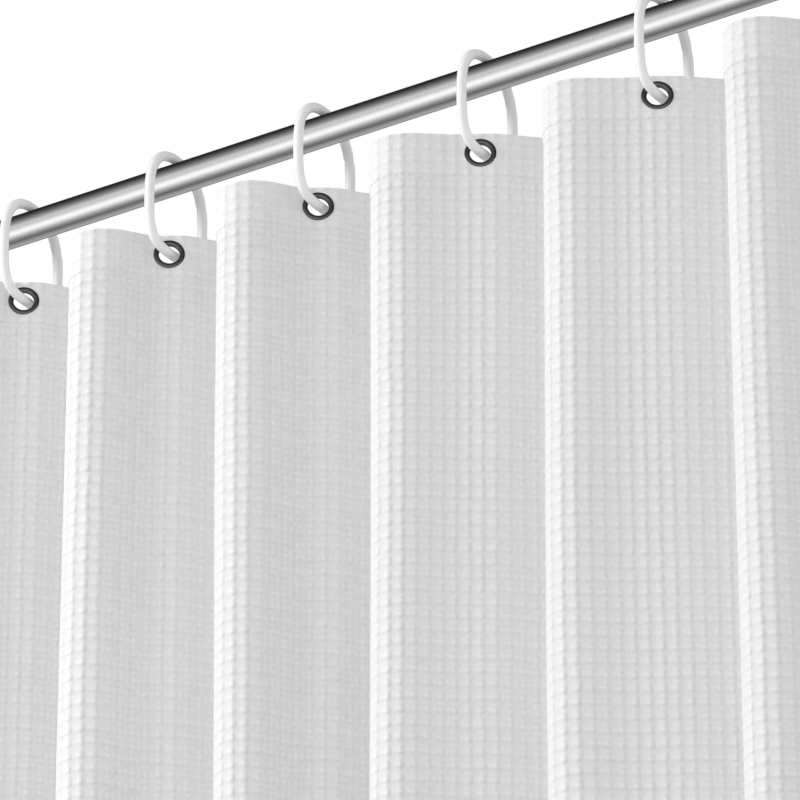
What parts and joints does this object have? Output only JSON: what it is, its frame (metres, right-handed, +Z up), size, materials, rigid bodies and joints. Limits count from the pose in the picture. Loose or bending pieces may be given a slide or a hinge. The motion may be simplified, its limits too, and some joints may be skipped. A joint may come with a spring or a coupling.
{
  "type": "shower curtain",
  "caption": "White waffle-weave shower curtain in deep vertical folds, hung by white plastic rings through metal eyelets from a chrome spring tension rod.",
  "frame": {"origin": "middle of the left wall pad's flat face, on the rod's axis", "axes": "+X along the rod from the left wall to the right wall, +Z up, -Y towards the room, the side the curtain's front faces"},
  "size_m": [1.2192, 0.0601, 1.8812],
  "materials": {
    "chrome": "mirror-polished chromed tube",
    "white_plastic": "glossy white moulded plastic, very slightly blue",
    "rubber": "matt pale grey rubber",
    "nylon": "natural moulded nylon",
    "spring_steel": "plain spring wire",
    "eyelet_metal": "dark nickel, polished",
    "waffle_cloth": "white waffle-weave polyester, matt"
  },
  "bodies": {
    "rod": {"rod_outer_tube": "chrome", "end_cap_left": "white_plastic", "wall_pad_left": "rubber"},
    "rod_lock": {"lock_plug": "nylon", "rod_spring": "spring_steel"},
    "rod_extension": {"rod_inner_tube": "chrome", "spring_seat": "nylon", "end_cap_right": "white_plastic", "wall_pad_right": "rubber"},
    "carriage_01": {"ring_01": "white_plastic", "eyelet_01": "eyelet_metal", "eyelet_washer_01": "eyelet_metal", "curtain_fold_01": "waffle_cloth"},
    "carriage_02": {"ring_02": "white_plastic", "eyelet_02": "eyelet_metal", "eyelet_washer_02": "eyelet_metal", "curtain_fold_02": "waffle_cloth"},
    "carriage_03": {"ring_03": "white_plastic", "eyelet_03": "eyelet_metal", "eyelet_washer_03": "eyelet_metal", "curtain_fold_03": "waffle_cloth"},
    "carriage_04": {"ring_04": "white_plastic", "eyelet_04": "eyelet_metal", "eyelet_washer_04": "eyelet_metal", "curtain_fold_04": "waffle_cloth"},
    "carriage_05": {"ring_05": "white_plastic", "eyelet_05": "eyelet_metal", "eyelet_washer_05": "eyelet_metal", "curtain_fold_05": "waffle_cloth"},
    "carriage_06": {"ring_06": "white_plastic", "eyelet_06": "eyelet_metal", "eyelet_washer_06": "eyelet_metal", "curtain_fold_06": "waffle_cloth"},
    "carriage_07": {"ring_07": "white_plastic", "eyelet_07": "eyelet_metal", "eyelet_washer_07": "eyelet_metal", "curtain_fold_07": "waffle_cloth"},
    "carriage_08": {"ring_08": "white_plastic", "eyelet_08": "eyelet_metal", "eyelet_washer_08": "eyelet_metal", "curtain_fold_08": "waffle_cloth"},
    "carriage_09": {"ring_09": "white_plastic", "eyelet_09": "eyelet_metal", "eyelet_washer_09": "eyelet_metal", "curtain_fold_09": "waffle_cloth"},
    "carriage_10": {"ring_10": "white_plastic", "eyelet_10": "eyelet_metal", "eyelet_washer_10": "eyelet_metal", "curtain_fold_10": "waffle_cloth"},
    "carriage_11": {"ring_11": "white_plastic", "eyelet_11": "eyelet_metal", "eyelet_washer_11": "eyelet_metal", "curtain_fold_11": "waffle_cloth"},
    "carriage_12": {"ring_12": "white_plastic", "eyelet_12": "eyelet_metal", "eyelet_washer_12": "eyelet_metal", "curtain_fold_12": "waffle_cloth"}
  },
  "joints": [
    {"name": "rod_adjust", "type": "slide", "parent": "rod", "child": "rod_lock", "axis": [1, 0, 0], "range_m": [0, 0.25]},
    {"name": "rod_press", "type": "slide", "parent": "rod_lock", "child": "rod_extension", "axis": [1, 0, 0], "range_m": [-0.015, 0], "stiffness_N_per_m": 3000, "deforming": ["rod_spring"]},
    {"name": "curtain_swing", "type": "hinge", "parent": "rod", "child": "carriage_01", "pos_m": [0, 0, 0], "axis": [1, 0, 0], "range_deg": [-25, 25]},
    {"name": "ring_slide_02", "type": "slide", "parent": "carriage_01", "child": "carriage_02", "axis": [1, 0, 0], "range_m": [-0.0686, 0.0005]},
    {"name": "ring_slide_03", "type": "slide", "parent": "carriage_01", "child": "carriage_03", "axis": [1, 0, 0], "range_m": [-0.136, 0.0005]},
    {"name": "ring_slide_04", "type": "slide", "parent": "carriage_01", "child": "carriage_04", "axis": [1, 0, 0], "range_m": [-0.2034, 0.0005]},
    {"name": "ring_slide_05", "type": "slide", "parent": "carriage_01", "child": "carriage_05", "axis": [1, 0, 0], "range_m": [-0.2756, 0.0005]},
    {"name": "ring_slide_06", "type": "slide", "parent": "carriage_01", "child": "carriage_06", "axis": [1, 0, 0], "range_m": [-0.3519, 0.0005]},
    {"name": "ring_slide_07", "type": "slide", "parent": "carriage_01", "child": "carriage_07", "axis": [1, 0, 0], "range_m": [-0.4254, 0.0005]},
    {"name": "ring_slide_08", "type": "slide", "parent": "carriage_01", "child": "carriage_08", "axis": [1, 0, 0], "range_m": [-0.4987, 0.0005]},
    {"name": "ring_slide_09", "type": "slide", "parent": "carriage_01", "child": "carriage_09", "axis": [1, 0, 0], "range_m": [-0.5704, 0.0005]},
    {"name": "ring_slide_10", "type": "slide", "parent": "carriage_01", "child": "carriage_10", "axis": [1, 0, 0], "range_m": [-0.6422, 0.0005]},
    {"name": "ring_slide_11", "type": "slide", "parent": "carriage_01", "child": "carriage_11", "axis": [1, 0, 0], "range_m": [-0.7173, 0.0005]},
    {"name": "curtain_draw", "type": "slide", "parent": "carriage_01", "child": "carriage_12", "axis": [1, 0, 0], "range_m": [-0.793, 0], "deforming": ["curtain_fold_01", "curtain_fold_02", "curtain_fold_03", "curtain_fold_04", "curtain_fold_05", "curtain_fold_06", "curtain_fold_07", "curtain_fold_08", "curtain_fold_09", "curtain_fold_10", "curtain_fold_11", "curtain_fold_12"]}
  ],
  "couplings": [
    {"joint": "ring_slide_02", "follows": "curtain_draw", "ratio": 0.085817},
    {"joint": "ring_slide_03", "follows": "curtain_draw", "ratio": 0.17086},
    {"joint": "ring_slide_04", "follows": "curtain_draw", "ratio": 0.25589},
    {"joint": "ring_slide_05", "follows": "curtain_draw", "ratio": 0.3469},
    {"joint": "ring_slide_06", "follows": "curtain_draw", "ratio": 0.44312},
    {"joint": "ring_slide_07", "follows": "curtain_draw", "ratio": 0.53585},
    {"joint": "ring_slide_08", "follows": "curtain_draw", "ratio": 0.62822},
    {"joint": "ring_slide_09", "follows": "curtain_draw", "ratio": 0.7187},
    {"joint": "ring_slide_10", "follows": "curtain_draw", "ratio": 0.80918},
    {"joint": "ring_slide_11", "follows": "curtain_draw", "ratio": 0.90389}
  ]
}
